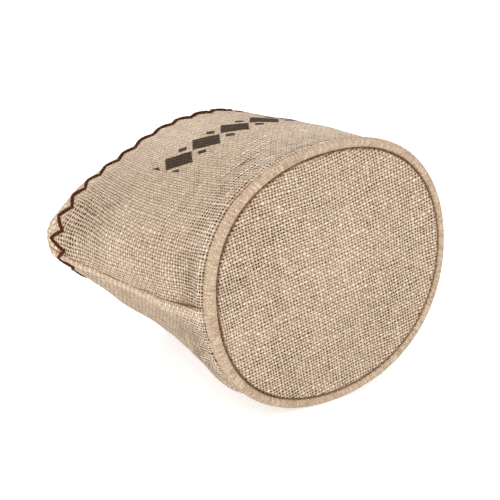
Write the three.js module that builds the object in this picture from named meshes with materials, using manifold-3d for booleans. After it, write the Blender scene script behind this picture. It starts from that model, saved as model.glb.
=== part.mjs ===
import * as THREE from 'three';
import { mergeVertices } from 'three/addons/utils/BufferGeometryUtils.js';
import Module from 'manifold-3d';

// A short hessian garlic bag lying on its side, millimetres, +Z up, base towards -Y.
// Lengths along the bag are measured from the base; "round" is a share of the way
// round it, from the left side seam over the top to the right side seam and under.

// Named sizes
const bagRadius = 90;
const bagLength = 160;
const cloth = 2;
const clearance = 0.3;
const pipingRadius = 3.3;
const pipingTape = 1.6;
const hemWidth = 12;
const seamAllowance = 8;
const baseRecess = 0.9;
const baseLip = 12;
// The piping's tape is flush with the inside of its roll, under the body cloth
const bodyRadius = bagRadius - 2 * pipingRadius + pipingTape + clearance + cloth;

// Left side seam at the base, degrees from +X
const seamAngle = 182;
// How far the cloth is rolled round at half length, as a share of the way round
const seamDrift = 0.01;

// The base is not a true circle: waves round its edge, radius as a share
const BASE_WAVES = [
  { waves: 2, share: 0.0165, at: 94.5 },
  { waves: 3, share: 0.0077, at: 94.5 },
  { waves: 4, share: 0.0143, at: 94.5 },
];

// Pinched and sagging mouth, across and up as shares of the bag radius
const MOUTH_RIM = [
  { round: 0.0, across: -1.194, up: 0.778 },
  { round: 0.018, across: -1.265, up: 0.862 },
  { round: 0.045, across: -1.29, up: 1.024 },
  { round: 0.09, across: -1.125, up: 1.25 },
  { round: 0.17, across: -0.7, up: 1.497 },
  { round: 0.26, across: -0.18, up: 1.69 },
  { round: 0.34, across: 0.311, up: 1.681 },
  { round: 0.42, across: 0.738, up: 1.442 },
  { round: 0.5, across: 1.0, up: 1.033 },
  { round: 0.58, across: 0.947, up: 0.54 },
  { round: 0.67, across: 0.56, up: 0.09 },
  { round: 0.76, across: 0.03, up: -0.06 },
  { round: 0.83, across: -0.38, up: 0.04 },
  { round: 0.9, across: -0.73, up: 0.344 },
  { round: 0.96, across: -1.015, up: 0.6 },
];

// Dents and bulges of the cloth: place and half widths as shares of the length
// and of the way round, lean as round per length, rise as a share of the radius
const FOLDS = [
  { name: 'sunk side seam', along: 0.45, round: 0.985, reach: 0.3, width: 0.07, lean: 0, rise: -0.033 },
  { name: 'low left bulge', along: 0.1, round: 0.885, reach: 0.2, width: 0.07, lean: 0, rise: 0.054 },
  { name: 'low left hollow', along: 0.62, round: 0.9, reach: 0.22, width: 0.07, lean: 0, rise: -0.033 },
  { name: 'rim turned in', along: 1, round: 0.895, reach: 0.14, width: 0.06, lean: 0, rise: -0.044 },
  { name: 'crown bulge', along: 0.45, round: 0.3, reach: 0.4, width: 0.14, lean: 0, rise: 0.033 },
  { name: 'hollow near the mouth', along: 0.8, round: 0.075, reach: 0.13, width: 0.06, lean: 0.1, rise: -0.028 },
  { name: 'ridge behind the hollow', along: 0.6, round: 0.07, reach: 0.1, width: 0.07, lean: 0.1, rise: 0.012 },
  { name: 'dent beside the piping', along: 0.15, round: 0.025, reach: 0.1, width: 0.03, lean: 0, rise: -0.036 },
  { name: 'pleat at the seam foot', along: 0.2, round: 0.992, reach: 0.16, width: 0.014, lean: 0, rise: 0.022 },
  { name: 'hollow under the pleat', along: 0.24, round: 0.955, reach: 0.15, width: 0.02, lean: 0, rise: -0.022 },
];

// Mesh fineness
const roundSteps = 26;
const lengthSteps = 15;
const ringSteps = 60;
const pipingSteps = 12;

const HESSIAN = 0xc7b19a;
const girth = 2 * Math.PI * bodyRadius;
const panelStart = 2 * pipingRadius + clearance;
const panelLength = bagLength - panelStart;

// Radius share of the base edge at an angle in degrees
function baseShare(angle) {
  let share = 1;
  for (const row of BASE_WAVES) {
    share -= row.share * Math.cos(THREE.MathUtils.degToRad(row.waves * (angle - row.at)));
  }
  return share;
}

// Height of the bag's axis at the base, so that the base stands on the floor
function axisHeight() {
  let lowest = 0;
  for (let angle = 180; angle < 360; angle += 1) {
    const drop = bagRadius * baseShare(angle) * Math.sin(THREE.MathUtils.degToRad(angle));
    lowest = Math.min(lowest, drop);
  }
  return -lowest;
}
const axisUp = axisHeight();

// Smooth closed curve through a column of the mouth table
function rimValue(column, round) {
  const count = MOUTH_RIM.length;
  const share = THREE.MathUtils.euclideanModulo(round, 1);
  const at = (i) => MOUTH_RIM[((i % count) + count) % count].round + Math.floor(i / count);
  const value = (i) => MOUTH_RIM[((i % count) + count) % count][column];
  let i = 0;
  while (i < count - 1 && at(i + 1) <= share) i += 1;
  const slope = (k) => {
    const before = at(k) - at(k - 1);
    const after = at(k + 1) - at(k);
    const rise = ((value(k) - value(k - 1)) / before) * after;
    const next = ((value(k + 1) - value(k)) / after) * before;
    return (rise + next) / (before + after);
  };
  const span = at(i + 1) - at(i);
  const t = (share - at(i)) / span;
  const bend = (value(i + 1) - value(i)) / span;
  const start = slope(i);
  const end = slope(i + 1);
  const second = (3 * bend - 2 * start - end) * span;
  const third = (start + end - 2 * bend) * span;
  return value(i) + t * span * start + t * t * second + t * t * t * third;
}

// Outward push of the folds at a place on the cloth
function foldRise(along, round) {
  let rise = 0;
  for (const row of FOLDS) {
    const lengthwise = (along - row.along) / row.reach;
    const centre = row.round + row.lean * (along - row.along);
    const turn = THREE.MathUtils.euclideanModulo(round - centre + 0.5, 1) - 0.5;
    rise += row.rise * Math.exp(-lengthwise * lengthwise - (turn / row.width) ** 2);
  }
  return bagRadius * rise * THREE.MathUtils.clamp(along * 6, 0, 1);
}

// Outer face of the body cloth; along runs 0 to 1 from the base to the mouth
function bodyFace(along, round) {
  const turned = round - seamDrift * Math.sin(Math.PI * along);
  const angle = seamAngle - 360 * turned;
  const radius = bodyRadius * baseShare(angle);
  const radians = THREE.MathUtils.degToRad(angle);
  const floorUp = axisUp - bagRadius;
  const mouthX = bagRadius * rimValue('across', turned);
  const mouthZ = bagRadius * rimValue('up', turned) + floorUp;
  const x = THREE.MathUtils.lerp(radius * Math.cos(radians), mouthX, along);
  const z = THREE.MathUtils.lerp(axisUp + radius * Math.sin(radians), mouthZ, along);
  const middleX = -0.045 * bagRadius * along;
  const middleZ = axisUp - 0.11 * bagRadius * along;
  const out = new THREE.Vector2(x - middleX, z - middleZ).normalize();
  const push = foldRise(along, round);
  return new THREE.Vector2(x + out.x * push, Math.max(z + out.y * push, 0));
}

// Point at a depth under the outer face
function bodyPoint(along, round, depth) {
  const here = bodyFace(along, round);
  const before = bodyFace(along, round - 0.002);
  const after = bodyFace(along, round + 0.002);
  const way = after.sub(before).normalize();
  const x = here.x + way.y * depth;
  const z = here.y - way.x * depth;
  return [x, panelStart + panelLength * along, z];
}

// Closed mesh swept through rows; each row has an outer and an inner chain of
// points of equal length, and the two ends are closed between the chains
function closedSweep(rows) {
  const half = rows[0].outer.length;
  const count = 2 * half;
  const positions = rows.flatMap(({ outer, inner }) => [...outer, ...[...inner].reverse()]).flat();
  const index = [];
  for (let r = 0; r < rows.length - 1; r += 1) {
    for (let i = 0; i < count; i += 1) {
      const j = (i + 1) % count;
      const a = r * count + i;
      const b = r * count + j;
      index.push(a, b, a + count, b, b + count, a + count);
    }
  }
  const last = (rows.length - 1) * count;
  for (let i = 0; i < half - 1; i += 1) {
    const [a, b, c, d] = [i, i + 1, count - 2 - i, count - 1 - i];
    const triangles = i < half / 2 ? [[a, b, c], [a, c, d]] : [[a, b, d], [b, c, d]];
    for (const [p, q, s] of triangles) index.push(p, s, q, last + p, last + q, last + s);
  }
  const geometry = new THREE.BufferGeometry();
  geometry.setAttribute('position', new THREE.Float32BufferAttribute(positions, 3));
  geometry.setIndex(index);
  return facingOut(geometry);
}

// Turns a closed mesh so that its faces point out
function facingOut(geometry) {
  const p = geometry.getAttribute('position');
  const index = geometry.getIndex().array;
  const corner = (k) => new THREE.Vector3().fromBufferAttribute(p, index[k]);
  let volume = 0;
  for (let k = 0; k < index.length; k += 3) {
    volume += corner(k).dot(corner(k + 1).cross(corner(k + 2)));
  }
  if (volume < 0) {
    for (let k = 0; k < index.length; k += 3) {
      [index[k + 1], index[k + 2]] = [index[k + 2], index[k + 1]];
    }
  }
  return geometry;
}

// Places round one half of the bag, closer together near the seams
function halfPlaces() {
  const lap = seamAllowance / girth;
  const edge = clearance / 2 / girth;
  const places = [edge, lap / 3, (2 * lap) / 3];
  for (let i = 0; i <= roundSteps; i += 1) {
    const t = i / roundSteps;
    const eased = t - (0.5 * Math.sin(2 * Math.PI * t)) / (2 * Math.PI);
    places.push(lap + (0.5 - 2 * lap) * eased);
  }
  places.push(0.5 - (2 * lap) / 3, 0.5 - lap / 3, 0.5 - edge);
  return places;
}

// Places along the body, with a step where the hem begins and a rounded rim
function lengthPlaces() {
  const hemStart = 1 - hemWidth / panelLength;
  const hemStep = (0.4 * cloth) / panelLength;
  const places = [];
  for (let i = 0; i < lengthSteps; i += 1) {
    places.push({ along: (hemStart * i) / lengthSteps, inner: cloth, round: 0 });
  }
  places.push({ along: hemStart - hemStep, inner: cloth, round: 0 });
  places.push({ along: hemStart, inner: 2 * cloth, round: 0 });
  places.push({ along: 1 - hemStep, inner: 2 * cloth, round: 0 });
  places.push({ along: 1, inner: 2 * cloth, round: 0.4 * cloth });
  return places;
}

// Half of the body: one cloth wall with a hem turned in at the mouth; the front
// half also has seam allowances that lie inside the back half
function bodyPanel(start, withAllowances) {
  const places = halfPlaces();
  const final = places.length - 1;
  const lap = seamAllowance / girth;
  const under = cloth + clearance;
  const deep = under + cloth;
  const tips = [-lap, (-2 * lap) / 3, -lap / 3, places[0]];
  const rows = lengthPlaces().map(({ along, inner, round }) => {
    const overlapped = (i) => i < 4 || i > final - 4;
    let outerChain = places.map((place) => [place, round]);
    let innerChain = places.map((place, i) => [place, (overlapped(i) ? cloth : inner) - round]);
    if (withAllowances) {
      const left = (depth) => tips.map((tip) => [tip, depth]);
      const right = (depth) => tips.map((tip) => [0.5 - tip, depth]).reverse();
      const wall = places.slice(2, -2).map((place) => [place, inner - round]);
      const steps = [places[1] / 2, places[1]].map((place) => [place, deep]);
      const lastSteps = steps.map(([place, depth]) => [0.5 - place, depth]).reverse();
      outerChain = [...left(under), ...outerChain, ...right(under)];
      innerChain = [...left(deep), ...steps, ...wall, ...lastSteps, ...right(deep)];
    }
    const point = ([place, depth]) => bodyPoint(along, start + place, depth);
    return { outer: outerChain.map(point), inner: innerChain.map(point) };
  });
  return closedSweep(rows);
}

// Ring or disc about the bag's axis from a closed outline of [radius, y]
function ringSolid(outline) {
  const rows = [];
  for (let i = 0; i < ringSteps; i += 1) {
    const angle = (360 * i) / ringSteps;
    const share = baseShare(angle);
    const radians = THREE.MathUtils.degToRad(angle);
    rows.push(
      outline.map(([radius, y]) => [
        radius * share * Math.cos(radians),
        y,
        axisUp + radius * share * Math.sin(radians),
      ]),
    );
  }
  const count = outline.length;
  const index = [];
  for (let r = 0; r < ringSteps; r += 1) {
    for (let i = 0; i < count; i += 1) {
      const j = (i + 1) % count;
      const next = ((r + 1) % ringSteps) * count;
      const a = r * count + i;
      const b = r * count + j;
      if (outline[i][0] > 0) index.push(a, b, next + i);
      if (outline[j][0] > 0) index.push(b, next + j, next + i);
    }
  }
  const geometry = new THREE.BufferGeometry();
  geometry.setAttribute('position', new THREE.Float32BufferAttribute(rows.flat(2), 3));
  geometry.setIndex(index);
  return facingOut(mergeVertices(geometry, 1e-4));
}

// Round base cloth with its edge turned up inside the body
function basePanel() {
  const outer = bagRadius - 2 * pipingRadius - clearance;
  const inner = outer - cloth;
  const soft = cloth / 3;
  const back = baseRecess + cloth;
  return ringSolid([
    [0, baseRecess],
    [outer - soft, baseRecess],
    [outer, baseRecess + soft],
    [outer, baseLip],
    [inner, baseLip],
    [inner, back],
    [0, back],
  ]);
}

// Piping roll round the base edge with its tape tucked inside the body
function basePiping() {
  const centre = bagRadius - pipingRadius;
  const tapeInner = centre - pipingRadius;
  const tapeOuter = tapeInner + pipingTape;
  const first = Math.acos((pipingRadius - pipingTape) / pipingRadius);
  const sweep = 2 * Math.PI - first;
  const outline = [
    [tapeInner, baseLip],
    [tapeOuter, baseLip],
  ];
  for (let i = 0; i <= pipingSteps; i += 1) {
    const turn = first + (sweep * i) / pipingSteps;
    outline.push([
      centre - pipingRadius * Math.cos(turn),
      pipingRadius + pipingRadius * Math.sin(turn),
    ]);
  }
  return ringSolid(outline);
}

// Takes the room of the piping tape out of a body panel's allowances
function clearOfTape(geometry, wasm) {
  const solid = (source) => {
    const merged = mergeVertices(source, 1e-4);
    return new wasm.Manifold(
      new wasm.Mesh({
        numProp: 3,
        vertProperties: new Float32Array(merged.getAttribute('position').array),
        triVerts: new Uint32Array(merged.getIndex().array),
      }),
    );
  };
  const outer = bodyRadius - cloth - clearance / 2;
  const inner = outer - 2 * cloth - pipingTape;
  const end = baseLip + clearance;
  const room = ringSolid([
    [inner, 0],
    [outer, 0],
    [outer, end],
    [inner, end],
  ]);
  const mesh = solid(geometry).subtract(solid(room)).getMesh();
  const cut = new THREE.BufferGeometry();
  cut.setAttribute('position', new THREE.Float32BufferAttribute(mesh.vertProperties, 3));
  cut.setIndex(new THREE.Uint32BufferAttribute(mesh.triVerts, 1));
  return cut;
}

function clothMesh(name, geometry, colour) {
  const material = new THREE.MeshStandardMaterial({ color: colour, roughness: 0.95, metalness: 0 });
  material.name = `${name}_cloth`;
  const mesh = new THREE.Mesh(geometry, material);
  mesh.name = name;
  return mesh;
}

const wasm = await Module();
wasm.setup();

const bag = new THREE.Group();
bag.name = 'garlic_bag';
bag.add(
  clothMesh('front_panel', clearOfTape(bodyPanel(0, true), wasm), HESSIAN),
  clothMesh('back_panel', bodyPanel(0.5, false), HESSIAN),
  clothMesh('base_panel', basePanel(), HESSIAN),
  clothMesh('base_piping', basePiping(), HESSIAN),
);

// Centred on the floor
const box = new THREE.Box3().setFromObject(bag);
const middle = box.getCenter(new THREE.Vector3());
for (const mesh of bag.children) {
  mesh.geometry.translate(-middle.x, -middle.y, -box.min.z);
  mesh.geometry.computeVertexNormals();
}

export default bag;
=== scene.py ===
import math

import bpy
import numpy as np
from mathutils import Matrix, Vector


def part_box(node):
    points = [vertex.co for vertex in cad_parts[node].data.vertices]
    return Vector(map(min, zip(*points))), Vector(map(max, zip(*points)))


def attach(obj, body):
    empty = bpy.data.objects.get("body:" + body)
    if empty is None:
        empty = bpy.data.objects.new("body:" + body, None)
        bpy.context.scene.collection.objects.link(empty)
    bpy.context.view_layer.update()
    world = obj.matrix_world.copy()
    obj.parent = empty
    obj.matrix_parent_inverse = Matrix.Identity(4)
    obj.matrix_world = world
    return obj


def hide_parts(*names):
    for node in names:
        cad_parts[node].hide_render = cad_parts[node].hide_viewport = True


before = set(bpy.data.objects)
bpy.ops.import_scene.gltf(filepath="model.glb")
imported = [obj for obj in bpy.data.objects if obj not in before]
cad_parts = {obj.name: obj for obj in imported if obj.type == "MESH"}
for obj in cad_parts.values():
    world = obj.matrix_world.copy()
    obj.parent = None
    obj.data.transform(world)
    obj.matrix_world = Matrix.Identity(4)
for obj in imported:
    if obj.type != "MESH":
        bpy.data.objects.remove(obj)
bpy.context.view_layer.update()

# Named sizes of the bag, millimetres
BAG_RADIUS = 90.0
BAG_LENGTH = 160.0
CLOTH = 2.0
CLEARANCE = 0.3
PIPING_RADIUS = 3.3
PIPING_TAPE = 1.6
HEM_WIDTH = 12.0
SEAM_ALLOWANCE = 8.0
BASE_RECESS = 0.9
BASE_LIP = 12.0
BODY_RADIUS = BAG_RADIUS - 2 * PIPING_RADIUS + PIPING_TAPE + CLEARANCE + CLOTH
GIRTH = 2 * math.pi * BODY_RADIUS
PANEL_START = 2 * PIPING_RADIUS + CLEARANCE
PANEL_LENGTH = BAG_LENGTH - PANEL_START
THREAD = 2.08
GATHER_PITCH = 6.3

# Left seam: degrees round the base, then drift and climb as shares of the way round
SEAM_ANGLE = 182.0
SEAM_DRIFT = 0.01
SEAM_RISE = 0.032

# How far the lengthwise threads run sideways near the left seam, per unit of length
THREAD_SLANT = 0.14

# Ribs of the cord's cover, all the way round the base edge
PIPING_RIBS = 140

# Where folds at the mouth push out from, left of and under the bag's axis, as shares
# of the radius
MOUTH_LEFT = 0.045
MOUTH_UNDER = 0.11

# Share of the panel, counted from the base, over which the folds come in
FOLDS_FADE = 1 / 6

# Points of the meshes: along and round a body panel, round the base, round the piping
ALONG_POINTS = 130
ROUND_POINTS = 230
BASE_POINTS = 301
PIPING_POINTS = 361

# Waves round the base edge: how many, share of the radius, degrees
BASE_WAVES = [(2, 0.0165, 94.5), (3, 0.0077, 94.5), (4, 0.0143, 94.5)]

# Mouth rim: share of the way round, across and up as shares of the radius
MOUTH_RIM = [
    (0.0, -1.194, 0.778),
    (0.018, -1.265, 0.862),
    (0.045, -1.29, 1.024),
    (0.09, -1.125, 1.25),
    (0.17, -0.7, 1.497),
    (0.26, -0.18, 1.69),
    (0.34, 0.311, 1.681),
    (0.42, 0.738, 1.442),
    (0.5, 1.0, 1.033),
    (0.58, 0.947, 0.54),
    (0.67, 0.56, 0.09),
    (0.76, 0.03, -0.06),
    (0.83, -0.38, 0.04),
    (0.9, -0.73, 0.344),
    (0.96, -1.015, 0.6),
]

# Main folds: along, round, reach, width, lean, rise, as in the solid part
FOLDS = [
    (0.45, 0.985, 0.3, 0.07, 0, -0.033),
    (0.1, 0.885, 0.2, 0.07, 0, 0.054),
    (0.62, 0.9, 0.22, 0.07, 0, -0.033),
    (1.0, 0.895, 0.14, 0.06, 0, -0.044),
    (0.45, 0.3, 0.4, 0.14, 0, 0.033),
    (0.8, 0.075, 0.13, 0.06, 0.1, -0.028),
    (0.6, 0.07, 0.1, 0.07, 0.1, 0.012),
    (0.15, 0.025, 0.1, 0.03, 0, -0.036),
    (0.2, 0.992, 0.16, 0.014, 0, 0.022),
    (0.24, 0.955, 0.15, 0.02, 0, -0.022),
]

# Small creases that only the finished cloth has, in the same columns
CREASES = [
    (0.115, 0.185, 0.025, 0.04, -0.5, 0.016),
    (0.185, 0.198, 0.018, 0.035, -0.5, -0.02),
    (0.25, 0.222, 0.022, 0.045, -0.6, 0.015),
    (0.3, 0.24, 0.018, 0.04, -0.6, -0.014),
    (0.3, 0.31, 0.02, 0.05, -0.1, 0.006),
    (0.1, 0.034, 0.05, 0.018, 0.2, -0.026),
    (0.16, 0.004, 0.1, 0.004, 0.03, -0.013),
    (0.3, 0.988, 0.05, 0.012, 0.1, 0.012),
    (0.45, 0.12, 0.03, 0.06, 0.3, 0.006),
    (0.7, 0.13, 0.04, 0.05, 0.5, -0.006),
    (0.55, 0.62, 0.05, 0.04, 0.4, 0.008),
    (0.35, 0.7, 0.04, 0.05, -0.4, 0.008),
    (0.7, 0.4, 0.04, 0.07, 0.4, -0.008),
    (0.4, 0.44, 0.05, 0.05, -0.3, -0.008),
    (0.84, 0.93, 0.07, 0.065, 0, 0.016),
    (1.08, 0.93, 0.12, 0.07, 0, -0.045),
    (0.98, 0.95, 0.09, 0.022, 0, -0.05),
    (0.88, 0.872, 0.22, 0.035, 0, -0.024),
    (1.0, 0.843, 0.1, 0.02, 0, -0.022),
    (1.0, 0.354, 0.07, 0.03, 0, -0.022),
    (1.0, 0.062, 0.08, 0.03, 0, 0.024),
    (1.0, 0.115, 0.06, 0.015, 0, 0.01),
    (0.48, 0.885, 0.13, 0.035, 0, 0.018),
    (0.12, 0.86, 0.06, 0.03, 0, 0.018),
    (0.95, 0.972, 0.08, 0.012, 0, 0.008),
]

# Painted shade and light over folds, dents and seams: along, round, reach, width, change
PAINTED_SHADING_PATCHES = [
    (0.1, 0.036, 0.05, 0.02, -0.06),
    (0.16, 0.004, 0.12, 0.0035, -0.25),
    (0.56, 0.075, 0.09, 0.06, 0.02),
    (0.3, 0.985, 0.3, 0.02, 0.05),
    (0.8, 0.07, 0.12, 0.04, -0.05),
    (0.24, 0.955, 0.15, 0.015, -0.08),
    (0.12, 0.185, 0.02, 0.03, 0.08),
    (0.185, 0.198, 0.015, 0.02, -0.05),
    (0.27, 0.24, 0.03, 0.04, 0.08),
    (0.85, 0.22, 0.25, 0.1, 0.13),
    (0.12, 0.0, 0.1, 0.003, -0.35),
    (0.3, 0.9, 0.3, 0.07, 0.11),
    (0.22, 0.31, 0.25, 0.07, 0.3),
    (0.06, 0.2, 0.1, 0.05, 0.22),
    (0.04, 0.05, 0.05, 0.06, 0.23),
    (0.04, 0.93, 0.07, 0.05, 0.17),
]

# How open the body weave is, and its changes: along, round, reach, width, change
BODY_OPENNESS = 1.12
BODY_OPENINGS = [
    (0.85, 0.055, 0.12, 0.045, 0.55),
    (0.1, 0.036, 0.07, 0.03, 0.7),
    (0.3, 0.92, 0.3, 0.05, 0.35),
    (0.1, 0.93, 0.15, 0.05, 0.4),
    (0.8, 0.27, 0.35, 0.13, -0.75),
    (0.67, 0.105, 0.12, 0.04, 0.28),
    (0.35, 0.2, 0.2, 0.05, -0.2),
    (0.192, 0.193, 0.012, 0.008, 1.0),
    (0.172, 0.204, 0.012, 0.008, 1.0),
    (0.045, 0.22, 0.014, 0.03, 0.8),
    (0.55, 0.07, 0.1, 0.05, -0.35),
    (0.1, 0.14, 0.06, 0.12, 0.3),
]

# The same for the base cloth: across and up as shares of the radius, spread, change
BASE_OPENNESS = 1.05
BASE_OPENINGS = [
    (-0.62, 0.42, 0.24, 0.3),
    (-0.8, 0.12, 0.16, 0.25),
    (-0.4, -0.75, 0.3, 0.2),
    (0.1, 0.1, 0.35, -0.25),
    (-0.72, -0.3, 0.16, -0.3),
    (0.5, -0.4, 0.25, 0.2),
    (0.55, 0.45, 0.25, 0.15),
]


def wrapped(value, turn):
    """Value moved by whole turns to within half a turn of zero."""
    return (value + turn / 2) % turn - turn / 2


def base_share(angle):
    """Radius share of the base edge at angles in degrees."""
    share = 1.0
    for waves, amount, at in BASE_WAVES:
        share = share - amount * np.cos(np.radians(waves * (angle - at)))
    return share


# Where the bag's axis and the front of its piping lie in the frame, millimetres
angles = np.arange(0.0, 360.0, 0.5)
low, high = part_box("base_piping")
widest = (BAG_RADIUS * base_share(angles) * np.cos(np.radians(angles))).max()
AXIS_X = high[0] * 1000 - widest
BASE_Y = low[1] * 1000
AXIS_UP = -(BAG_RADIUS * base_share(angles) * np.sin(np.radians(angles))).min()


def closed_curve(column, round_):
    """Smooth closed curve through a column of the mouth table."""
    keys = np.array([row[0] for row in MOUTH_RIM])
    values = np.array([row[column] for row in MOUTH_RIM])
    keys = np.concatenate([keys[-2:] - 1, keys, keys[:3] + 1])
    values = np.concatenate([values[-2:], values, values[:3]])
    gap = np.diff(keys)
    bend = np.diff(values) / gap
    slope = (bend[:-1] * gap[1:] + bend[1:] * gap[:-1]) / (gap[:-1] + gap[1:])
    share = np.mod(round_, 1.0)
    i = np.searchsorted(keys, share, side="right") - 1
    span = gap[i]
    t = (share - keys[i]) / span
    start, end = slope[i - 1], slope[i]
    second = (3 * bend[i] - 2 * start - end) * span
    third = (start + end - 2 * bend[i]) * span
    return values[i] + t * span * start + t * t * second + t * t * t * third


def bumps(table, along, round_):
    """Sum of the table's soft bumps, as a share of the bag radius."""
    total = 0.0
    for at, centre, reach, width, lean, rise in table:
        turn = wrapped(round_ - centre - lean * (along - at), 1.0)
        total = total + rise * np.exp(-(((along - at) / reach) ** 2) - (turn / width) ** 2)
    return total


def seam_lift(along, round_):
    """How far the left seam climbs toward the mouth, as a share of the way round."""
    return SEAM_RISE * along**3 * (0.5 + 0.5 * np.cos(2 * math.pi * round_))


def body_face(along, round_):
    """Outer face of the body cloth: x from the bag's axis and z from the floor."""
    lifted = round_ + seam_lift(along, round_)
    turned = lifted - SEAM_DRIFT * np.sin(math.pi * along)
    angle = SEAM_ANGLE - 360 * turned
    radius = BODY_RADIUS * base_share(angle)
    floor_up = AXIS_UP - BAG_RADIUS
    mouth_x = BAG_RADIUS * closed_curve(1, turned)
    mouth_z = BAG_RADIUS * closed_curve(2, turned) + floor_up
    x = radius * np.cos(np.radians(angle)) * (1 - along) + mouth_x * along
    z = (AXIS_UP + radius * np.sin(np.radians(angle))) * (1 - along) + mouth_z * along
    out_x = x + MOUTH_LEFT * BAG_RADIUS * along
    out_z = z - AXIS_UP + MOUTH_UNDER * BAG_RADIUS * along
    size = np.hypot(out_x, out_z)
    ramp = np.clip(along / FOLDS_FADE, 0, 1)
    push = BAG_RADIUS * ramp * (bumps(FOLDS, along, lifted) + bumps(CREASES, along, lifted))
    x = x + out_x / size * push
    z = z + out_z / size * push
    return x, np.maximum(z, 0.0)


def body_point(along, round_, depth):
    """Point at a depth under the outer face, millimetres in the frame."""
    along, round_, depth = np.broadcast_arrays(along, round_, depth)
    step = 0.0015
    x, z = body_face(along, round_)
    x_before, z_before = body_face(along, round_ - step)
    x_after, z_after = body_face(along, round_ + step)
    way_x, way_z = x_after - x_before, z_after - z_before
    size = np.hypot(way_x, way_z)
    y = PANEL_START + PANEL_LENGTH * along
    return np.stack(
        [
            x + way_z / size * depth + AXIS_X,
            y + BASE_Y,
            z - way_x / size * depth,
        ],
        -1,
    )


def ring_point(angle, radius, y):
    """Point about the bag's axis, millimetres in the frame."""
    angle, radius, y = np.broadcast_arrays(angle, radius, y)
    share = base_share(angle)
    return np.stack(
        [
            AXIS_X + radius * share * np.cos(np.radians(angle)),
            BASE_Y + y,
            AXIS_UP + radius * share * np.sin(np.radians(angle)),
        ],
        -1,
    )


def smooth_noise(x, y, seed):
    """Value noise over a plane, from -1 to 1, the same on every run."""
    table = np.random.default_rng(seed).uniform(-1, 1, (64, 64))
    xi, yi = np.floor(x).astype(int), np.floor(y).astype(int)
    fx, fy = x - xi, y - yi
    fx, fy = fx * fx * (3 - 2 * fx), fy * fy * (3 - 2 * fy)
    a, b = table[xi % 64, yi % 64], table[(xi + 1) % 64, yi % 64]
    c, d = table[xi % 64, (yi + 1) % 64], table[(xi + 1) % 64, (yi + 1) % 64]
    return (a * (1 - fx) + b * fx) * (1 - fy) + (c * (1 - fx) + d * fx) * fy


# Material building


class Wire:
    """A shader socket that takes part in Python arithmetic."""

    def __init__(self, finish, socket):
        self.finish = finish
        self.socket = socket

    def __add__(self, other):
        return self.finish.maths("ADD", self, other)

    def __sub__(self, other):
        return self.finish.maths("SUBTRACT", self, other)

    def __rsub__(self, other):
        return self.finish.maths("SUBTRACT", other, self)

    def __mul__(self, other):
        return self.finish.maths("MULTIPLY", self, other)

    def __truediv__(self, other):
        return self.finish.maths("DIVIDE", self, other)

    __radd__ = __add__
    __rmul__ = __mul__


class Finish:
    """A node material under construction."""

    def __init__(self, name):
        self.material = bpy.data.materials.new(name)
        self.material.use_nodes = True
        self.tree = self.material.node_tree
        self.tree.nodes.clear()

    def node(self, kind, settings=None, inputs=None, output=0):
        """One node with its settings and inputs, as the wire of one output."""
        made = self.tree.nodes.new(kind)
        for key, value in (settings or {}).items():
            setattr(made, key, value)
        for key, value in (inputs or {}).items():
            if isinstance(value, Wire):
                self.tree.links.new(value.socket, made.inputs[key])
            else:
                made.inputs[key].default_value = value
        return Wire(self, made.outputs[output]) if made.outputs else None

    def maths(self, operation, *values):
        return self.node("ShaderNodeMath", {"operation": operation}, dict(enumerate(values)))

    def rise(self, value, start, end):
        """0 before start, 1 after end, smooth between; falls where end is lower."""
        inputs = {"Value": value, "From Min": min(start, end), "From Max": max(start, end)}
        inputs["To Min"] = 0.0 if start < end else 1.0
        inputs["To Max"] = 1.0 if start < end else 0.0
        return self.node("ShaderNodeMapRange", {"interpolation_type": "SMOOTHSTEP"}, inputs)

    def blend(self, factor, a, b):
        """Colour between a and b."""
        return self.node("ShaderNodeMix", {"data_type": "RGBA"}, {0: factor, 6: a, 7: b}, 2)

    def shade(self, colour, amount):
        """Colour made darker and warmer, or lighter, by a number."""
        warm = self.point(amount, amount * (0.81 + amount * 0.19), amount * (0.57 + amount * 0.43))
        settings = {"operation": "MULTIPLY"}
        return self.node("ShaderNodeVectorMath", settings, {0: colour, 1: warm})

    def point(self, x, y, z=0.0):
        """A vector from three numbers."""
        return self.node("ShaderNodeCombineXYZ", None, {0: x, 1: y, 2: z})

    def flat_place(self):
        """The three numbers of the cloth attribute."""
        split = self.node("ShaderNodeSeparateXYZ", None, {0: self.attribute("cloth", 1)})
        return [Wire(self, socket) for socket in split.socket.node.outputs]

    def noise(self, x, y, z, detail):
        """Soft noise, one cell to a unit; z keeps two noises apart."""
        settings = {"noise_dimensions": "3D"}
        inputs = {"Vector": self.point(x, y, z), "Scale": 1.0, "Detail": detail}
        return self.node("ShaderNodeTexNoise", settings, inputs)

    def chance(self, number, dimensions="1D"):
        """A fixed random number for each whole number, or pair of them."""
        key = "W" if dimensions == "1D" else "Vector"
        settings = {"noise_dimensions": dimensions}
        return self.node("ShaderNodeTexWhiteNoise", settings, {key: number})

    def attribute(self, name, output=2):
        """What the mesh holds under that name at each point."""
        return self.node("ShaderNodeAttribute", {"attribute_name": name}, None, output)

    def close(self, colour, roughness, height, strength, distance):
        """Ends the material with a cloth surface."""
        normal = self.node(
            "ShaderNodeBump", None, {"Strength": strength, "Distance": distance, "Height": height}
        )
        surface = self.node(
            "ShaderNodeBsdfPrincipled",
            None,
            {
                "Base Color": colour,
                "Roughness": roughness,
                "Normal": normal,
                "Specular IOR Level": 0.04,
            },
        )
        self.node("ShaderNodeOutputMaterial", None, {"Surface": surface})
        return self.material


def linear(red, green, blue):
    """Shader colour from 0 to 255 screen values."""
    values = [((v / 255 + 0.055) / 1.055) ** 2.4 for v in (red, green, blue)]
    return (*values, 1.0)
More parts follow.
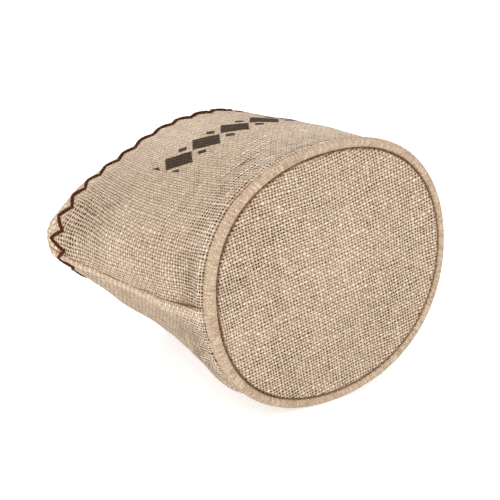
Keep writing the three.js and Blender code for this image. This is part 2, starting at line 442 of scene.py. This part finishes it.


# Colours of the jute, the painted shade seen through the gaps between its threads, the painted
# shade in its creases and seams, the yarn and the ink
STRAW = linear(192, 170, 147)
STRAW_PALE = linear(230, 209, 185)
STRAW_DEEP = linear(150, 123, 97)
HOLE_SHADE = linear(98, 60, 26)
HOLE_SHADE_DEEP = linear(68, 41, 18)
PAINTED_SHADE_BROWN = linear(112, 66, 32)
YARN = linear(58, 22, 8)
YARN_LIGHT = linear(98, 54, 34)
INK = linear(42, 27, 20)

# Stencilled row of lozenges on the front panel, millimetres on the cloth
MARK_COUNT = 6
MARK_PITCH = 22.0
MARK_HALF_WIDTH = 10.6
MARK_HALF_HEIGHT = 15.0
SMALL_MARK_HALF_WIDTH = 3.2
SMALL_MARK_HALF_HEIGHT = 4.4
SMALL_MARK_ABOVE = 10.5
MARK_ROUND = 0.285 * GIRTH
MARK_ALONG = 0.56 * PANEL_LENGTH


def threads(finish, across, along, openness, lean):
    """Plain weave: how far a place is covered, its height, its thread's tone, and the painted
    shade of its crossings.
    """
    wander_a = finish.noise(across * 0.4, along * 0.09, 0.0, 2.0)
    wander_b = finish.noise(across * 0.09, along * 0.4, 5.0, 2.0)
    p = across + (wander_a - 0.5) * 1.3
    q = along + (wander_b - 0.5) * 1.3
    warp, weft = finish.maths("FLOOR", p), finish.maths("FLOOR", q)
    side_p, side_q = p - warp - 0.5, q - weft - 0.5
    swell_p = finish.noise(warp * 0.73, along * 0.35, 11.0, 2.0)
    swell_q = finish.noise(across * 0.35, weft * 0.73, 17.0, 2.0)
    crossing = finish.chance(finish.point(warp, weft), "2D")
    narrow = openness * (0.1 + crossing * 0.06)
    half_p = 0.46 + lean - narrow + (swell_p - 0.5) * 0.3
    half_q = 0.46 - lean - narrow + (swell_q - 0.5) * 0.3
    off_p = finish.maths("ABSOLUTE", side_p) / half_p
    off_q = finish.maths("ABSOLUTE", side_q) / half_q
    cover_p = finish.rise(off_p, 1.12, 0.9)
    cover_q = finish.rise(off_q, 1.12, 0.9)
    parity = finish.maths("PINGPONG", warp + weft, 1.0) * 2 - 1
    over_p = parity * finish.maths("COSINE", side_q * math.pi)
    over_q = parity * finish.maths("COSINE", side_p * math.pi) * -1
    round_p = 1 - off_p * off_p
    round_q = 1 - off_q * off_q
    height_p = (round_p * 0.5 + over_p * 0.5) * cover_p + (cover_p - 1) * 0.9
    height_q = (round_q * 0.5 + over_q * 0.5) * cover_q + (cover_q - 1) * 0.9
    height = finish.maths("MAXIMUM", height_p, height_q)
    cover = finish.maths("MAXIMUM", cover_p, cover_q)
    top = finish.rise(height_p - height_q, -0.1, 0.1)
    tone_p = finish.chance(warp * 1.7 + 3.1) * 0.22 + swell_p * 0.72 + (crossing - 0.3) * 0.38
    tone_q = finish.chance(weft * 2.3 + 7.7) * 0.22 + swell_q * 0.72 + (crossing - 0.3) * 0.38
    tone = tone_q + (tone_p - tone_q) * top
    slope = finish.maths("COSINE", (p + q) * math.pi)
    return cover, height, tone, top * 0.1 + slope * 0.11


def stencil(finish, round_mm, along_mm):
    """Where the row of plain lozenges, with small ones between them, is inked."""
    start = MARK_ROUND - MARK_COUNT * MARK_PITCH / 2
    unit = (round_mm - start) / MARK_PITCH
    cell = finish.maths("FLOOR", unit)
    x = (unit - cell - 0.5) * MARK_PITCH
    y = along_mm - MARK_ALONG
    ragged = finish.noise(round_mm * 0.9, along_mm * 0.9, 3.0, 3.0) - 0.5
    beside = finish.maths("ABSOLUTE", x) + ragged * 1.2
    above = finish.maths("ABSOLUTE", y) + ragged * 1.2
    out = beside / MARK_HALF_WIDTH + above / MARK_HALF_HEIGHT
    lozenge = finish.rise(out, 1.02, 0.98)
    small_above = finish.maths("ABSOLUTE", above - SMALL_MARK_ABOVE) / SMALL_MARK_HALF_HEIGHT
    small_out = (MARK_PITCH / 2 - beside) / SMALL_MARK_HALF_WIDTH + small_above
    lozenge = finish.maths("MAXIMUM", lozenge, finish.rise(small_out, 1.08, 0.94))
    row = finish.rise(unit, -0.01, 0.01) * finish.rise(unit, MARK_COUNT + 0.01, MARK_COUNT - 0.01)
    return lozenge * row


def hessian(
    name, marked=False, turn=0.0, pitch=THREAD, closed=False, lean=0.0, ease=1.0, relief=0.64
):
    """Woven jute cloth; the cloth attribute holds its flat place in millimetres.

    marked adds the row of lozenges, turn is the bias in degrees, closed the dense
    weave of the piping, lean how much wider the lengthwise threads are, ease how much
    further apart the crosswise ones lie, and relief how deep the weave is shaded."""
    finish = Finish(name)
    u, v, round_mm = finish.flat_place()
    c, s = math.cos(math.radians(turn)) / pitch, math.sin(math.radians(turn)) / pitch
    across, along = u * c + v * s, (v * c - u * s) / ease
    patch = finish.noise(u * 0.035, v * 0.035, 1.0, 3.0)
    openness = finish.attribute("open")
    if not closed:
        clump = finish.noise(u * 0.11, v * 0.13, 4.0, 2.0)
        openness = openness * (patch * 0.8 + clump * 1.2)
    cover, height, tone, painted_weave_shade = threads(finish, across, along, openness, lean)
    grain = 1.7 if closed else 3.1
    fibre = finish.noise(u * grain, v * grain, 2.0, 3.0)
    colour = finish.blend(tone, STRAW_DEEP, STRAW_PALE)
    colour = finish.blend(0.7 if closed else 0.45, colour, STRAW)
    # Painted light and shade of the weave: raised crowns lighter, hollows and crossings darker,
    # ribs on the piping, with random fibre and patch tone
    light = 1.12 - relief * 0.95 + finish.rise(height, -0.6, 0.9) * relief
    light = light + (fibre - 0.5) * (1.35 if closed else 0.55)
    light = light * (0.93 + patch * 0.14) * (1.05 - painted_weave_shade * (0.4 if closed else 1.0))
    if closed:
        rib = finish.noise(u * 0.75, v * 0.16, 6.0, 2.0)
        light = light * (0.26 + rib * 1.06)
    colour = finish.shade(colour, light)
    if marked:
        ink = stencil(finish, round_mm, v)
        worn = 0.98 - finish.rise(height + fibre * 0.6, 0.7, 1.5) * 0.22
        colour = finish.blend(ink * worn, colour, INK)
    # Painted shade in the holes between threads: the dim inside of the bag seen through them,
    # darker where the weave is more open
    gap = finish.blend(openness * 0.7, HOLE_SHADE, HOLE_SHADE_DEEP)
    colour = finish.blend(cover, gap, colour)
    # Painted shading: below 1 it blends toward a painted shade brown in seams, grooves, dents and
    # inside the bag; above 1 it paints light on folds
    painted_shading = finish.attribute("painted_shading")
    colour = finish.blend(1 - painted_shading, colour, PAINTED_SHADE_BROWN)
    colour = finish.shade(colour, finish.maths("MAXIMUM", painted_shading, 1.0))
    rough = 0.9 - fibre * 0.1
    return finish.close(colour, rough, height + fibre * 0.3, 0.45 if closed else 0.8, 0.001)


def twisted(name, dark, pale, turns):
    """Twisted yarn; the cloth attribute holds the length in millimetres and the share
    of the way round."""
    finish = Finish(name)
    u, v = finish.flat_place()[:2]
    ply = finish.maths("SINE", u * turns + v * (2 * math.pi * 2))
    fibre = finish.noise(u * 2.0, v * 9.0, 0.0, 3.0)
    colour = finish.blend(finish.rise(ply * 0.5 + fibre, -0.1, 1.1), dark, pale)
    return finish.close(colour, 0.85 + fibre * 0.1, ply + fibre, 0.5, 0.0004)


# Mesh building


def joined_mesh(name, grids, material):
    """One object from grids of points, each with its place on the flat cloth, its
    openness, its painted shade and light, and whether its rows close into rings."""
    verts, faces, cloths, opens, painted_shadings = [], [], [], [], []
    start = 0
    for points, cloth, openness, painted_shading, closed in grids:
        rows, cols = points.shape[:2]
        ids = start + np.arange(rows * cols).reshape(rows, cols)
        right = np.roll(ids, -1, 1) if closed else ids[:, 1:]
        here = ids if closed else ids[:, :-1]
        quads = np.stack([here[:-1], here[1:], right[1:], right[:-1]], -1)
        faces.append(quads.reshape(-1, 4))
        verts.append(points.reshape(-1, 3) * 0.001)
        full = np.zeros((rows, cols, 3))
        full[..., : cloth.shape[-1]] = cloth
        cloths.append(full.reshape(-1, 3))
        opens.append(np.broadcast_to(openness, (rows, cols)).reshape(-1))
        painted_shadings.append(np.broadcast_to(painted_shading, (rows, cols)).reshape(-1))
        start += rows * cols
    verts, faces = np.concatenate(verts), np.concatenate(faces)
    mesh = bpy.data.meshes.new(name)
    mesh.vertices.add(len(verts))
    mesh.vertices.foreach_set("co", verts.ravel())
    mesh.loops.add(faces.size)
    mesh.loops.foreach_set("vertex_index", faces.ravel().astype(np.int32))
    mesh.polygons.add(len(faces))
    mesh.polygons.foreach_set("loop_start", np.arange(0, faces.size, 4, dtype=np.int32))
    mesh.update(calc_edges=True)
    for label, kind, field, values in (
        ("cloth", "FLOAT_VECTOR", "vector", np.concatenate(cloths)),
        ("open", "FLOAT", "value", np.concatenate(opens)),
        ("painted_shading", "FLOAT", "value", np.concatenate(painted_shadings)),
    ):
        layer = mesh.attributes.new(label, kind, "POINT")
        layer.data.foreach_set(field, np.ascontiguousarray(values, dtype=np.float32).ravel())
    mesh.validate()
    mesh.shade_smooth()
    mesh.materials.append(material)
    piece = bpy.data.objects.new(name, mesh)
    bpy.context.scene.collection.objects.link(piece)
    return piece


def section_loop():
    """Loop of a body panel's wall, from the base edge over the outer face, round the
    rim and back along the inner face: along, depth, flat length and how many of its
    points are on the outer face."""
    roll = CLOTH / PANEL_LENGTH
    hem_start = 1 - HEM_WIDTH / PANEL_LENGTH
    outer = np.linspace(0, 1 - roll, ALONG_POINTS)
    turn = np.linspace(0, math.pi, 9)[1:-1]
    hem = np.linspace(1 - roll, hem_start, 10)
    inner = np.linspace(hem_start, 0, ALONG_POINTS // 2)
    along = np.concatenate([outer, 1 - roll + roll * np.sin(turn), hem, inner])
    depth = np.concatenate(
        [
            np.zeros_like(outer),
            CLOTH - CLOTH * np.cos(turn),
            np.full_like(hem, 2 * CLOTH),
            np.full_like(inner, CLOTH),
        ]
    )
    step = np.hypot(np.diff(along) * PANEL_LENGTH, np.diff(depth))
    length = np.concatenate([[0], np.cumsum(step)])
    return along, depth, length, len(outer)


def bumps_flat(table, along, round_):
    """Sum of a table of patches without any lean."""
    return bumps([(*row[:4], 0, row[4]) for row in table], along, round_)


def edge_dip(round_, seam_mm, base_mm):
    """How far the cloth is drawn in at the seams and gathered beside the piping."""
    dip = np.exp(-(seam_mm**2))
    dip = dip + 1.6 * np.exp(-((base_mm / 2.2) ** 2)) - 0.9 * np.exp(-(((base_mm - 6) / 3.5) ** 2))
    phase = round_ * GIRTH * 2 * math.pi / GATHER_PITCH
    gather = np.cos(phase + 2 * smooth_noise(round_ * 40, 0 * round_, 3))
    return dip + 0.35 * gather * np.exp(-base_mm / 6) * (1 - np.exp(-base_mm / 1.5))


def band_rise(seam_mm, base_mm):
    """How far the seam allowance underneath lifts the cloth of the back panel."""
    band = 1 / (1 + np.exp((seam_mm - SEAM_ALLOWANCE) / 0.5))
    ribs = smooth_noise(base_mm / 3, 0 * base_mm, 9)
    return band * (0.5 + 0.15 * ribs) * (1 - np.exp(-((seam_mm / 1.5) ** 2)))


def cloth_ripple(along, round_, base_mm):
    """Small ripples of the cloth, none where it lies on the floor."""
    ripple = 0.35 * smooth_noise(round_ * GIRTH / 17, base_mm / 13, 7)
    ripple = ripple + 0.2 * smooth_noise(round_ * GIRTH / 6, base_mm / 7, 8)
    on_floor = body_face(along, round_)[1] < 1.0
    return np.where(on_floor, 0, ripple) * np.clip(base_mm / 10, 0, 1)


def body_openness(along, round_, seam_mm, dense_mm):
    """How open the weave is, closed in the hem and over a dense strip by the seams."""
    base_mm = along * PANEL_LENGTH
    rim_mm = (1 - along) * PANEL_LENGTH
    openness = np.clip(BODY_OPENNESS + bumps_flat(BODY_OPENINGS, along, round_), 0, 1.9)
    openness = openness * np.clip((rim_mm - 9) / 4, 0, 1)
    beyond = np.clip((seam_mm - dense_mm) / 1.5, 0, 1)
    openness = openness * np.maximum(beyond, 0.7 * np.exp(-((along / 0.25) ** 2)))
    left = np.exp(-((wrapped(round_ - 0.05, 1) / 0.11) ** 2))
    patchy = 0.1 + 0.35 * smooth_noise(round_ * GIRTH / 9, 0 * round_, 10)
    return openness + patchy * left * np.exp(-(((base_mm - 5) / 4) ** 2))


def body_painted_shading(along, round_, seam_mm, base_mm):
    """Painted shade and light on the body over its folds, with painted shade lines at the seams
    and the base.
    """
    painted_shading = 1 - 0.5 * np.exp(-((seam_mm / 0.8) ** 2)) + bumps_flat(PAINTED_SHADING_PATCHES, along, round_)
    return painted_shading * (1 - 0.6 * np.exp(-(((base_mm - 0.8) / 1.5) ** 2)))


def body_panel(first, banded):
    """One half of the body, from one side seam to the other. The back panel is banded
    by the seam allowances that lie inside it."""
    along, depth, length, outer_count = section_loop()
    edge = CLEARANCE / 2 / GIRTH
    t = np.linspace(0, 1, ROUND_POINTS)
    places = edge + (0.5 - 2 * edge) * (t - 0.35 * np.sin(2 * math.pi * t) / (2 * math.pi))
    round_, along_grid = np.meshgrid(first + places, along, indexing="ij")
    depth_grid = np.broadcast_to(depth, round_.shape).copy()
    seam_mm = np.minimum(places, 0.5 - places)[:, None] * GIRTH
    base_mm = along_grid * PANEL_LENGTH
    outside = np.broadcast_to(np.arange(len(along)) < outer_count, round_.shape)
    dip = edge_dip(round_, seam_mm, base_mm)
    if banded:
        dip = dip - band_rise(seam_mm, base_mm)
    ripple = cloth_ripple(along_grid, round_, base_mm)
    moved = np.where(outside, depth_grid + dip + ripple, depth_grid + np.clip(ripple, 0, 1))
    points = body_point(along_grid, round_, moved)
    points[..., 2] = np.maximum(points[..., 2], 0)
    openness = body_openness(along_grid, round_, seam_mm, SEAM_ALLOWANCE if banded else 1)
    painted_shading = body_painted_shading(along_grid, round_, seam_mm, base_mm)
    length = np.broadcast_to(length, round_.shape)
    slant = THREAD_SLANT * np.exp(-((wrapped(round_ - 0.09, 1) / 0.1) ** 2))
    across = (round_ + seam_lift(along_grid, round_)) * GIRTH
    cloth = np.stack([across - slant * length, length, across], -1)
    # The inner face carries an even painted shade
    return points, cloth, openness, np.where(outside, painted_shading, 0.92), True


def allowance_strip(side):
    """Turned-in seam allowance of the front panel, lying inside the back panel."""
    start = (BASE_LIP + 0.5 - PANEL_START) / PANEL_LENGTH
    along = np.linspace(start, 1 - 1 / PANEL_LENGTH, 120)
    lap = SEAM_ALLOWANCE / GIRTH
    out = np.linspace(CLEARANCE / GIRTH, -lap, 10)
    offsets = np.concatenate([out, out[::-1]])
    depth = np.concatenate([np.full(10, CLOTH + CLEARANCE), np.full(10, 2 * CLOTH + CLEARANCE)])
    places = offsets if side == "left" else 0.5 - offsets
    along_grid, round_ = np.meshgrid(along, places, indexing="ij")
    waves = 0.15 * smooth_noise(along_grid * 30, round_ * 100, 5)
    points = body_point(along_grid, round_, np.broadcast_to(depth, round_.shape) + np.abs(waves))
    cloth = np.stack([round_ * GIRTH, along_grid * PANEL_LENGTH], -1)
    # The hidden allowance carries an even painted shade
    return points, cloth, 0.1, 0.9, True


hessian_front = hessian("hessian_marked", marked=True, lean=0.03, ease=1.03)
hessian_back = hessian("hessian_plain", lean=0.03, ease=1.03)
hessian_base = hessian("hessian_base", turn=10, relief=0.82)
hessian_piping = hessian("hessian_piping", turn=38, pitch=1.4, closed=True, relief=0.56)
zigzag_yarn = twisted("zigzag_yarn", YARN, YARN_LIGHT, 2.6)
seam_thread = twisted("seam_thread", linear(122, 84, 52), linear(166, 128, 92), 6.0)
loose_jute = twisted("loose_jute", STRAW, STRAW_PALE, 6.0)

front_grids = [body_panel(0.0, False), allowance_strip("left"), allowance_strip("right")]
front_panel = joined_mesh("front_panel_cloth", front_grids, hessian_front)
back_panel = joined_mesh("back_panel_cloth", [body_panel(0.5, True)], hessian_back)


def piping_half(angle):
    """Half the width of the piping, fuller on the left of the bag, slimmer on its right."""
    left = np.exp(-((wrapped(angle - SEAM_ANGLE, 360) / 26) ** 2))
    right = np.exp(-((wrapped(angle - 5, 360) / 45) ** 2))
    return PIPING_RADIUS + 0.9 * left - 0.6 * right


BASE_OUTER = BAG_RADIUS - 2 * PIPING_RADIUS - CLEARANCE
BASE_BACK = BASE_RECESS + CLOTH
BASE_BEND = 1.6


def base_section():
    """Section of the base cloth as radius and distance from the front: from the middle
    over the bend and the turned-up edge to the middle of the back."""
    inner = BASE_OUTER - CLOTH
    bend_start = BASE_OUTER - BASE_BEND
    face = BASE_OUTER * np.sqrt(np.linspace(0, 1, 90))
    face = face[face < bend_start - 0.3]
    turn = np.linspace(0, math.pi / 2, 6)
    back = np.linspace(inner - 0.5, 0, 30)
    radius = [face, bend_start + BASE_BEND * np.sin(turn), [BASE_OUTER] * 2, [inner] * 2, back]
    y = [
        np.full_like(face, BASE_RECESS),
        BASE_RECESS + BASE_BEND - BASE_BEND * np.cos(turn),
        [BASE_LIP * 0.6, BASE_LIP],
        [BASE_LIP, BASE_BACK + 0.5],
        np.full_like(back, BASE_BACK),
    ]
    return np.concatenate(radius), np.concatenate(y)


def base_grids():
    """Round base cloth, gently rippled, with its edge turned up inside."""
    radius, y = base_section()
    angle = np.linspace(0, 360, BASE_POINTS)
    length = np.concatenate([[0], np.cumsum(np.hypot(np.diff(radius), np.diff(y)))])
    angle_grid, radius_grid = np.meshgrid(angle, radius, indexing="ij")
    flat_y = np.broadcast_to(y, radius_grid.shape)
    flat_x = radius_grid * np.cos(np.radians(angle_grid))
    flat_z = radius_grid * np.sin(np.radians(angle_grid))
    on_face = flat_y < BASE_BACK + 0.2
    inside = np.clip((BASE_OUTER - radius_grid) / 12, 0, 1) * on_face
    ripple = 0.8 * smooth_noise(flat_x / 31 + 9, flat_z / 26 + 9, 12)
    ripple = ripple + 0.35 * smooth_noise(flat_x / 12 + 20, flat_z / 14 + 20, 13)
    shift = 2 * (PIPING_RADIUS - piping_half(angle_grid)) * (radius_grid / BASE_OUTER) ** 8
    points = ring_point(angle_grid, radius_grid + shift * on_face, flat_y + ripple * inside)
    reach = np.where(on_face, radius_grid, length[None, :])
    way = np.radians(angle_grid)
    cloth = np.stack([reach * np.cos(way), reach * np.sin(way)], -1)
    openness = BASE_OPENNESS + 0 * radius_grid
    for x, z, spread, change in BASE_OPENINGS:
        gone = (flat_x / BAG_RADIUS - x) ** 2 + (flat_z / BAG_RADIUS - z) ** 2
        openness = openness + change * np.exp(-gone / spread**2)
    # Painted shade along the groove at the base edge, uneven and lighter on the right; the
    # turned-up edge inside carries an even painted shade
    right = np.exp(-((wrapped(angle_grid, 360) / 60) ** 2))
    uneven = 0.6 - 0.25 * right + 0.25 * smooth_noise(angle_grid / 9, 0 * angle_grid, 14)
    painted_shading = 1 - uneven * np.exp(-((BASE_OUTER - radius_grid) ** 2))
    return [(points, cloth, openness, np.where(flat_y > BASE_BACK - 0.5, 0.9, painted_shading), False)]


def piping_grids():
    """Covered cord round the base edge, with its tape inside the body."""
    tape_outer = BODY_RADIUS - CLOTH - CLEARANCE
    tape_inner = tape_outer - PIPING_TAPE
    first = 0.4 * math.pi
    last = 2.1 * math.pi
    turn = np.linspace(first, last, 40)
    angle = np.linspace(0, 360, PIPING_POINTS)
    angle_grid, turn_grid = np.meshgrid(angle, turn, indexing="ij")
    uneven = 0.1 * smooth_noise(angle_grid / 9, turn_grid, 21)
    uneven = uneven - 0.1 + 0.08 * np.cos(np.radians(angle_grid) * PIPING_RIBS + turn_grid)
    centre = BAG_RADIUS - piping_half(angle_grid)
    radius = centre - (piping_half(angle_grid) + uneven) * np.cos(turn_grid)
    y = PIPING_RADIUS + (PIPING_RADIUS + uneven) * np.sin(turn_grid)
    points = ring_point(angle_grid, radius, y)
    around = np.radians(angle_grid) * BAG_RADIUS
    cloth = np.stack([around, turn_grid * PIPING_RADIUS], -1)
    # Painted shade along both edges of the cover, where it tucks into the grooves
    shut = np.minimum(np.abs(turn_grid - first), np.abs(turn_grid - last)) * PIPING_RADIUS
    painted_shading = 1 - 0.35 * np.exp(-((shut / 1.6) ** 2))
    roll = (points, cloth, 0.0, painted_shading, False)
    radius = np.array([tape_inner, tape_inner, tape_outer, tape_outer])
    y = np.array([PIPING_RADIUS, BASE_LIP, BASE_LIP, PIPING_RADIUS])
    angle_grid, radius_grid = np.meshgrid(angle, radius, indexing="ij")
    y_grid = np.broadcast_to(y, radius_grid.shape)
    points = ring_point(angle_grid, radius_grid, y_grid)
    cloth = np.stack([np.radians(angle_grid) * BAG_RADIUS, y_grid + radius_grid], -1)
    # The tape inside the body carries an even painted shade
    return [roll, (points, cloth, 0.0, 0.9, False)]


base_panel = joined_mesh("base_panel_cloth", base_grids(), hessian_base)
base_piping = joined_mesh("base_piping_cloth", piping_grids(), hessian_piping)


def yarn_grid(path, radius, sides=8):
    """Tube along a path of points; radius may vary along it."""
    way = np.gradient(path, axis=0)
    way /= np.linalg.norm(way, axis=1)[:, None]
    up = np.array([0.0, -1.0, 0.0])
    side = np.cross(way, up)
    side /= np.maximum(np.linalg.norm(side, axis=1), 1e-6)[:, None]
    out = np.cross(side, way)
    turn = np.linspace(0, 2 * math.pi, sides + 1)
    radius = np.broadcast_to(radius, len(path))[:, None, None]
    ring = side[:, None] * np.cos(turn)[None, :, None] + out[:, None] * np.sin(turn)[None, :, None]
    points = path[:, None] + ring * radius
    run = np.concatenate([[0], np.cumsum(np.linalg.norm(np.diff(path, axis=0), axis=1))])
    cloth = np.stack(np.meshgrid(run, turn / (2 * math.pi), indexing="ij"), -1)
    return points, cloth, 0.0, 1.0, False


# Zigzag stitch: how many, then in millimetres the first corner round from the left
# seam, how far from the rim the outer and inner corners lie, and the yarn's radius
ZIGZAG_COUNT = 37
ZIGZAG_FIRST = 24.0
ZIGZAG_OUTER = 2.4
ZIGZAG_INNER = 8.0
YARN_RADIUS = 1.12


def zigzag_grids(depth):
    """Dark zigzag yarn round the rim, one straight stitch after another, on the face
    of the cloth at that depth. At the left end of the mouth its corners lie further in,
    and just under that end the yarn is drawn tight into the cloth."""
    rng = np.random.default_rng(31)
    pitch = GIRTH / ZIGZAG_COUNT
    corners = []
    for k in range(ZIGZAG_COUNT):
        at = ZIGZAG_FIRST + k * pitch + rng.normal(0, 0.45)
        turn = wrapped(at, GIRTH)
        drift = math.exp(-(((turn - 24) / 36) ** 2))
        corners.append((at, ZIGZAG_OUTER + 3.4 * drift + rng.normal(0, 0.45)))
        deep = math.exp(-(((turn - 10) / 24) ** 2))
        inner = ZIGZAG_INNER + 8.8 * deep + rng.normal(0, 0.5)
        corners.append((at + pitch / 2 + rng.normal(0, 0.3), inner))
    corners.append((corners[0][0] + GIRTH, corners[0][1]))
    grids = []
    for (u0, r0), (u1, r1) in zip(corners[:-1], corners[1:]):
        t = np.linspace(-0.05, 1.05, 20)
        bow = np.sin(np.clip(t, 0.03, 0.97) * math.pi) ** 0.5
        round_ = (u0 + (u1 - u0) * t + 0.25 * bow * rng.normal()) / GIRTH
        along = 1 - (r0 + (r1 - r0) * t) / PANEL_LENGTH
        round_ = round_ - seam_lift(along, round_)
        middle = wrapped((u0 + u1) / 2, GIRTH)
        tight = math.exp(-(((middle + 20) / 13) ** 2))
        lift = YARN_RADIUS * (0.1 + 0.55 * bow - 0.95 * tight)
        path = body_point(along, round_, depth + lift if depth else -lift)
        path[:, 2] = np.maximum(path[:, 2], YARN_RADIUS * 0.75)
        grids.append(yarn_grid(path, YARN_RADIUS * (0.8 + 0.2 * bow)))
    return grids


zigzag = joined_mesh("zigzag_stitch", zigzag_grids(0.0), zigzag_yarn)
zigzag_inside = joined_mesh("zigzag_stitch_inside", zigzag_grids(2 * CLOTH), zigzag_yarn)


# Sewing thread: pitch and radius along the seams, count and radius round the base
SEAM_STITCH = 3.6
SEAM_THREAD_RADIUS = 0.32
BASE_STITCH_COUNT = 130
BASE_THREAD_RADIUS = 0.3


def seam_stitches():
    """Short sewing stitches along both side seams."""
    rng = np.random.default_rng(41)
    grids = []
    for centre in (0.0, 0.5):
        for k in range(int(PANEL_LENGTH / SEAM_STITCH)):
            t = np.linspace(0, 1, 7)
            along = (k + 0.12 + 0.7 * t) * SEAM_STITCH / PANEL_LENGTH
            sideways = (rng.normal(0, 0.12) + 0.1) / GIRTH
            bow = np.sin(t * math.pi)
            path = body_point(along, centre + sideways + 0 * along, 0.9 - 0.5 * bow)
            path[:, 2] = np.maximum(path[:, 2], 0.4)
            grids.append(yarn_grid(path, SEAM_THREAD_RADIUS * (0.6 + 0.4 * bow), 6))
    return grids


def base_stitches():
    """Stitches in the groove between the base cloth and its piping."""
    rng = np.random.default_rng(43)
    radius = BAG_RADIUS - 2 * PIPING_RADIUS + 0.1
    grids = []
    for k in range(BASE_STITCH_COUNT):
        t = np.linspace(0, 1, 6)
        angle = 360 * (k + 0.14 + 0.72 * t) / BASE_STITCH_COUNT
        bow = np.sin(t * math.pi)
        reach = radius + 2 * (PIPING_RADIUS - piping_half(angle)) + rng.normal(0, 0.1)
        path = ring_point(angle, reach, BASE_RECESS + 0.7 - 0.5 * bow)
        grids.append(yarn_grid(path, BASE_THREAD_RADIUS * (0.6 + 0.4 * bow), 6))
    return grids


# How many fibres stand on the rim, the seams and the faces, and their radius
RIM_FIBRES = 70
SEAM_FIBRES = 35
FACE_FIBRES = 45
FIBRE_RADIUS = 0.13


def fibre_grids():
    """Loose jute fibres standing off the rim, the side seams and the faces."""
    rng = np.random.default_rng(47)
    grids = []
    for k in range(RIM_FIBRES + SEAM_FIBRES + FACE_FIBRES):
        t = np.linspace(0, 1, 7)
        if k < RIM_FIBRES:
            along, round_ = 1 - rng.uniform(0.5, 3) / PANEL_LENGTH, rng.uniform(0, 1)
        elif k < RIM_FIBRES + SEAM_FIBRES:
            along, round_ = rng.uniform(0.05, 0.98), rng.choice([0.0, 0.5])
        else:
            along, round_ = rng.uniform(0.03, 0.95), rng.uniform(0, 1)
        size = rng.uniform(2.0, 5.5)
        way = rng.uniform(0, 2 * math.pi)
        run = t * size
        places = along + run * math.cos(way) * 0.6 / PANEL_LENGTH
        turned = round_ + (run * math.sin(way) + rng.uniform(-1, 1) * np.sin(t * math.pi)) / GIRTH
        rise = rng.uniform(0.5, 1.6) * np.sin(t * 2.2)
        path = body_point(np.clip(places, 0, 1), turned, -rise)
        path[:, 1] += np.clip(places - 1, 0, None) * PANEL_LENGTH
        path[:, 2] = np.maximum(path[:, 2], 0.3)
        grids.append(yarn_grid(path, FIBRE_RADIUS * (1 - 0.6 * t), 5))
    return grids


side_stitching = joined_mesh("side_seam_stitching", seam_stitches(), seam_thread)
loose_fibres = joined_mesh("loose_fibres", fibre_grids(), loose_jute)
base_stitching = joined_mesh("base_stitching", base_stitches(), seam_thread)

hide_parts("front_panel")
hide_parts("back_panel")
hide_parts("base_panel")
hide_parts("base_piping")
for piece, slot in (
    (front_panel, "front_cloth"),
    (back_panel, "back_cloth"),
    (base_panel, "base_cloth"),
    (base_piping, "piping_cloth"),
    (zigzag, "front_cloth"),
    (zigzag_inside, "front_cloth"),
    (side_stitching, "front_cloth"),
    (loose_fibres, "front_cloth"),
    (base_stitching, "base_cloth"),
):
    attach(piece, "root")


# Camera, floor and light


def floor_finish():
    finish = Finish("pale_floor")
    surface = finish.node(
        "ShaderNodeBsdfPrincipled",
        None,
        {
            "Base Color": (0.7, 0.7, 0.7, 1),
            "Roughness": 0.9,
            "Specular IOR Level": 0.1,
            "Emission Color": (1, 1, 1, 1),
            "Emission Strength": 0.6,
        },
    )
    finish.node("ShaderNodeOutputMaterial", None, {"Surface": surface})
    return finish.material


# Half the floor's side and how far it lies under the bag, metres
FLOOR = 60
FLOOR_GAP = 0.0002

floor_corners = [(-FLOOR, -FLOOR, 0), (FLOOR, -FLOOR, 0), (FLOOR, FLOOR, 0), (-FLOOR, FLOOR, 0)]
floor_mesh = bpy.data.meshes.new("floor")
floor_mesh.from_pydata(floor_corners, [], [(0, 1, 2, 3)])
floor_mesh.materials.append(floor_finish())
floor = bpy.data.objects.new("floor", floor_mesh)
floor.location.z = -FLOOR_GAP
bpy.context.scene.collection.objects.link(floor)

# Place and aim of the camera in metres, its roll in degrees and its lens in millimetres
EYE = Vector((-0.56026, -0.8937, 0.50818))
LOOK_AT = Vector((-0.02686, -0.04782, 0.10373))
ROLL = -1.09
LENS = 125.39

view = bpy.data.cameras.new("camera")
view.lens = LENS
view.sensor_width = 36
view.clip_start = 0.01
camera = bpy.data.objects.new("camera", view)
aim = (LOOK_AT - EYE).to_track_quat("-Z", "Y").to_matrix().to_4x4()
roll = Matrix.Rotation(math.radians(ROLL), 4, "Z")
camera.matrix_world = Matrix.Translation(EYE) @ aim @ roll
bpy.context.scene.collection.objects.link(camera)
bpy.context.scene.camera = camera


LAMP_AIM = Vector((0, 0, 0.08))


def soft_light(name, place, size, power):
    """Square area light aimed at the bag."""
    lamp = bpy.data.lights.new(name, "AREA")
    lamp.size = size
    lamp.energy = power
    holder = bpy.data.objects.new(name, lamp)
    holder.location = place
    aim = LAMP_AIM - Vector(place)
    holder.rotation_euler = aim.to_track_quat("-Z", "Y").to_euler()
    bpy.context.scene.collection.objects.link(holder)


soft_light("key_light", (-0.7, -0.9, 1.6), 1.2, 13)
soft_light("fill_light", (1.3, -1.2, 0.9), 1.5, 6)
soft_light("low_light", (-1.5, -0.7, 0.25), 0.8, 6)
soft_light("back_light", (0.2, 1.4, 1.2), 1.2, 5)

world = bpy.data.worlds.new("studio")
world.use_nodes = True
world.node_tree.nodes["Background"].inputs["Color"].default_value = (1, 1, 1, 1)
world.node_tree.nodes["Background"].inputs["Strength"].default_value = 0.85
bpy.context.scene.world = world
bpy.context.scene.view_settings.view_transform = "Standard"
